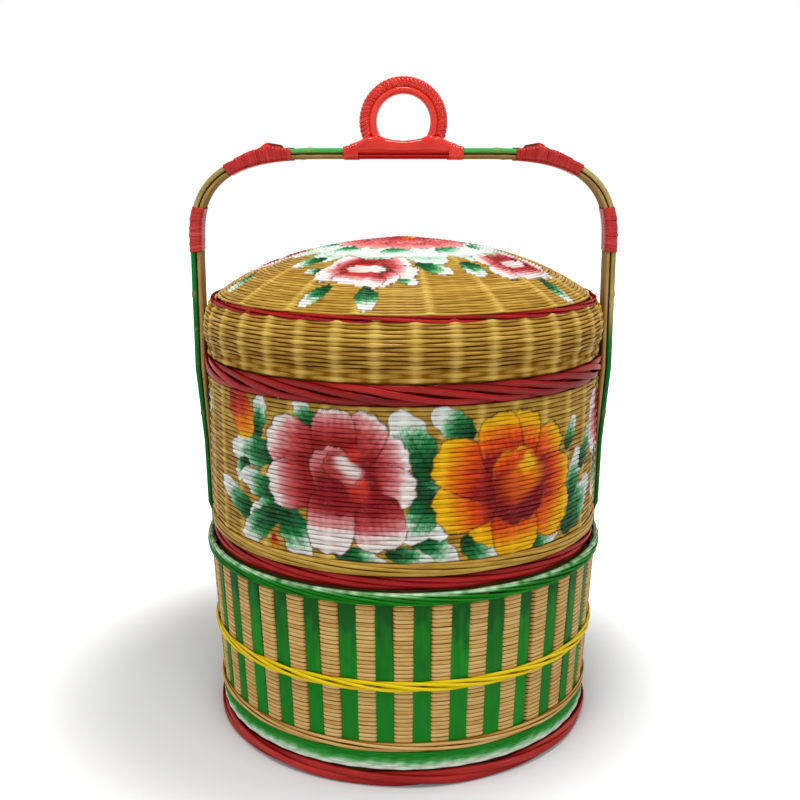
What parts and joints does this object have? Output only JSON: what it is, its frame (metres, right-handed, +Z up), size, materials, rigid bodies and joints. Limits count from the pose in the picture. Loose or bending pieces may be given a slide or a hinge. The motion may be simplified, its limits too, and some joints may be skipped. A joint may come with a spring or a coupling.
{
  "type": "tiered bamboo food basket",
  "caption": "Round bamboo food basket with a slatted lower tier, a woven upper tier, a domed lid and a bent bamboo handle with a wound hand ring.",
  "frame": {"origin": "middle of the foot, on the surface that the basket stands on", "axes": "+Z up; the painted front looks along -Y; the handle stands in the plane of X and Z"},
  "size_m": [0.3284, 0.313, 0.4944],
  "materials": {
    "natural_cane": "varnished split bamboo and cane",
    "painted_weave": "varnished bamboo weave painted with flowers and leaves",
    "red_lacquer": "gloss red lacquer on cane",
    "green_lacquer": "gloss green lacquer on split bamboo",
    "yellow_lacquer": "gloss yellow lacquer on cane"
  },
  "bodies": {
    "lower_tier": {"foot_hoop": "natural_cane", "foot_cane_a": "red_lacquer", "foot_cane_b": "red_lacquer", "base_floor": "natural_cane", "base_wall": "natural_cane", "slat_cage": "green_lacquer", "base_band_green": "green_lacquer", "base_band_natural": "natural_cane", "base_rim_weave": "green_lacquer", "base_rim_hoop": "natural_cane", "waist_cane_a": "yellow_lacquer", "waist_cane_b": "yellow_lacquer", "handle_outer_strip": "green_lacquer", "handle_inner_strip": "natural_cane", "leg_winding_left": "red_lacquer", "leg_winding_right": "red_lacquer", "corner_winding_left": "red_lacquer", "corner_winding_right": "red_lacquer", "corner_scarf_left": "red_lacquer", "corner_scarf_right": "red_lacquer", "grip_binding_left": "red_lacquer", "grip_binding_right": "red_lacquer", "grip_ring": "red_lacquer", "grip_winding": "red_lacquer", "grip_saddle": "red_lacquer", "rim_lashing_left": "green_lacquer", "rim_lashing_right": "green_lacquer", "foot_lashing_left": "green_lacquer", "foot_lashing_right": "green_lacquer"},
    "upper_tier": {"upper_foot_hoop": "natural_cane", "upper_foot_cane_a": "red_lacquer", "upper_foot_cane_b": "red_lacquer", "upper_floor": "natural_cane", "upper_wall": "painted_weave", "upper_base_band": "natural_cane", "upper_rim_cane_a": "red_lacquer", "upper_rim_cane_b": "red_lacquer", "upper_rim_hoop": "natural_cane"},
    "lid": {"lid_collar": "natural_cane", "lid_hem": "natural_cane", "lid_band": "painted_weave", "lid_dome": "painted_weave", "shoulder_cane_a": "red_lacquer", "shoulder_cane_b": "red_lacquer"}
  },
  "joints": [
    {"name": "tier_lift", "type": "slide", "parent": "lower_tier", "child": "upper_tier", "axis": [0, 0, 1], "range_m": [0, 0.012]},
    {"name": "lid_lift", "type": "slide", "parent": "upper_tier", "child": "lid", "axis": [0, 0, 1], "range_m": [0, 0.034]}
  ]
}
